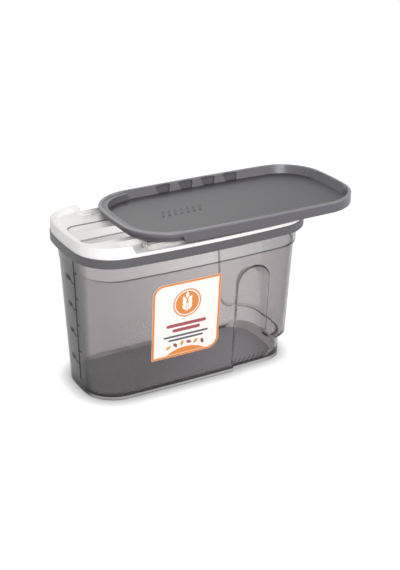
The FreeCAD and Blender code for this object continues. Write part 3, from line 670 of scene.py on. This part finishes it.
# Label print: an orange border, a badge with an ear of grain, bars where lines of words would stand,
# and loose kernels over a low hill.
labelPrint = {
    "standOff": -60,
    "left": -43.3,
    "right": 12.8,
    "bottom": 27.4,
    "top": 89.8,
    "round": 9.0,
    "bareEdge": 0.15,
    "border": 1.7,
    "middle": -15.2,
    "badge": {"height": 71.5, "size": 23.0, "ring": 1.0, "disc": 19.0},
    "ear": {
        "kernel": (2.7, 5.2),
        "spread": 2.3,
        "steps": (-3.6, -0.2, 3.2),
        "tip": 6.5,
        "lean": 32,
        "stem": (0.8, 7.0),
    },
    "bars": (
        ("red", 54.2, 33.0, 2.7),
        ("red", 49.8, 23.0, 2.7),
        ("slate", 45.0, 37.0, 1.6),
        ("slate", 41.9, 29.0, 1.6),
    ),
    "loose": (
        ("ochre", -29.5, 36.0, 62),
        ("brown", -23.8, 37.2, -40),
        ("ochre", -18.3, 38.0, 15),
        ("red", -12.6, 37.8, -70),
        ("ochre", -6.9, 37.2, 40),
        ("brown", -1.2, 36.0, -20),
    ),
    "looseKernel": (2.6, 4.4),
    "hill": {"size": 60.0, "centre": (-15.2, 4.4), "foot": 29.6},
}


def addBorder():
    look = labelPrint
    bare = look["bareEdge"]
    width = look["right"] - look["left"] - 2 * bare
    height = look["top"] - look["bottom"] - 2 * bare
    bpy.ops.object.select_all(action="DESELECT")
    bpy.ops.mesh.primitive_plane_add(size=1)
    piece = bpy.context.object
    piece.scale = (width * mm, height * mm, 1)
    bpy.ops.object.transform_apply()
    # Only the upper left and the lower right corner are rounded.
    pickPoints(piece, lambda point: point.x * point.y < 0)
    bpy.ops.mesh.bevel(offset=(look["round"] - bare) * mm, segments=12, affect="VERTICES")
    bpy.ops.mesh.select_all(action="SELECT")
    bpy.ops.mesh.inset(thickness=look["border"] * mm)
    bpy.ops.mesh.delete(type="FACE")
    bpy.ops.mesh.select_all(action="SELECT")
    bpy.ops.mesh.subdivide(number_cuts=8)
    bpy.ops.object.mode_set(mode="OBJECT")
    piece.rotation_euler = (math.pi / 2, 0, faceNear)
    middle = ((look["left"] + look["right"]) / 2, look["standOff"], (look["bottom"] + look["top"]) / 2)
    piece.location = Vector(middle) * mm
    bpy.ops.object.transform_apply()
    return piece


# The rim of the badge: a disc with its middle taken out.
def addBadgeRing(place):
    badge = labelPrint["badge"]
    bpy.ops.object.select_all(action="DESELECT")
    bpy.ops.mesh.primitive_circle_add(vertices=48, radius=badge["size"] / 2 * mm, fill_type="NGON")
    piece = bpy.context.object
    bpy.ops.object.mode_set(mode="EDIT")
    bpy.ops.mesh.select_all(action="SELECT")
    bpy.ops.mesh.inset(thickness=badge["ring"] * mm)
    bpy.ops.mesh.delete(type="FACE")
    bpy.ops.object.mode_set(mode="OBJECT")
    piece.rotation_euler = (math.pi / 2, 0, faceNear)
    piece.location = Vector(place) * mm
    bpy.ops.object.transform_apply()
    return piece


# A low hill: a wide disc cut off level above the border.
def addHill():
    hill = labelPrint["hill"]
    x, z = hill["centre"]
    piece = addFlat("disc", (x, labelPrint["standOff"], z), hill["size"], hill["size"])
    bpy.ops.object.mode_set(mode="EDIT")
    bpy.ops.mesh.select_all(action="SELECT")
    bpy.ops.mesh.bisect(plane_co=(0, 0, hill["foot"] * mm), plane_no=(0, 0, 1), clear_inner=True)
    bpy.ops.mesh.select_all(action="SELECT")
    bpy.ops.mesh.subdivide(number_cuts=1)
    bpy.ops.object.mode_set(mode="OBJECT")
    return piece


def addLabelPrint():
    look = labelPrint
    depth = look["standOff"]
    middle = look["middle"]
    badge = look["badge"]
    ear = look["ear"]
    centre = (middle, depth, badge["height"])
    drawn = {ink: [] for ink in ("orange", "red", "slate", "ochre", "brown", "white")}
    drawn["orange"] += [
        addBorder(),
        addBadgeRing(centre),
        addFlat("disc", centre, badge["disc"], badge["disc"]),
        addHill(),
    ]
    for ink, height, width, thickness in look["bars"]:
        drawn[ink].append(addFlat("pill", (middle, depth, height), width, thickness))
    for ink, x, z, lean in look["loose"]:
        drawn[ink].append(addFlat("kernel", (x, depth, z), *look["looseKernel"], math.radians(lean)))
    for step in ear["steps"]:
        for side in (-1, 1):
            place = (middle + side * ear["spread"], depth, badge["height"] + step)
            lean = side * math.radians(ear["lean"])
            drawn["white"].append(addFlat("kernel", place, *ear["kernel"], lean))
    tip = (middle, depth, badge["height"] + ear["tip"])
    stemWidth, stemHeight = ear["stem"]
    stem = (middle, depth, badge["height"] - stemHeight / 2)
    drawn["white"].append(addFlat("kernel", tip, *ear["kernel"]))
    drawn["white"].append(addFlat("strip", stem, stemWidth, stemHeight))
    for ink, shapes in drawn.items():
        piece = joinAs("labelPrint" + ink.capitalize(), shapes)
        layOnWall(piece, nodes["label"], faceNear, 1 if ink == "white" else 0)
        setMaterial(piece, mouldedMaterial(inks[ink]))
        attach(piece, "tub")


addLabelPrint()
print("label printed")

# Low slanted ribs on the tray's floor, moulded with the lid.
trayRibs = {
    "count": 7,
    "pitch": 5.2,
    "first": (-11.5, 3.0),
    "width": 1.7,
    "length": 11.0,
    "height": 0.35,
    "lean": 24,
    "endRound": 0.49,
    "round": 0.3,
}


def addRibs():
    look = trayRibs
    bpy.ops.object.select_all(action="DESELECT")
    bpy.ops.mesh.primitive_cube_add(size=1)
    rib = bpy.context.object
    # The upper half of the block stands above the floor, and the lower half is sunk in it.
    rib.scale = (look["width"] * mm, look["length"] * mm, 2 * look["height"] * mm)
    bpy.ops.object.transform_apply()
    bpy.ops.object.mode_set(mode="EDIT")
    bpy.ops.mesh.select_mode(type="EDGE")
    bpy.ops.mesh.select_all(action="DESELECT")
    bpy.ops.object.mode_set(mode="OBJECT")
    for edge in rib.data.edges:
        one, other = (rib.data.vertices[index].co for index in edge.vertices)
        edge.select = abs(one.z - other.z) > look["height"] * mm
    bpy.ops.object.mode_set(mode="EDIT")
    bpy.ops.mesh.bevel(offset=look["width"] * look["endRound"] * mm, segments=5, affect="EDGES")
    bpy.ops.object.mode_set(mode="OBJECT")
    top = 0.9 * look["height"] * mm
    pickPoints(rib, lambda point: point.z > top)
    bpy.ops.mesh.bevel(offset=look["round"] * mm, segments=3, affect="EDGES")
    bpy.ops.object.mode_set(mode="OBJECT")
    rib.rotation_euler = (0, 0, math.radians(-look["lean"]))
    x, y = look["first"]
    rib.location = Vector((x, y, lidPlaces["trayLevel"])) * mm
    bpy.ops.object.transform_apply()
    ribs = [rib]
    for step in range(1, look["count"]):
        pickOnly(rib)
        bpy.ops.object.duplicate()
        copy = bpy.context.object
        bpy.ops.transform.translate(value=(step * look["pitch"] * mm, 0, 0))
        bpy.ops.object.transform_apply()
        ribs.append(copy)
    piece = joinAs("trayRibs", ribs)
    pickOnly(piece)
    bpy.ops.object.shade_smooth_by_angle(angle=math.radians(35))
    # The ribs take the tray floor's grey with its painted shade.
    setMaterial(piece, lidMaterials["tray"])
    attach(piece, "lid")


addRibs()
print("tray ribs moulded")
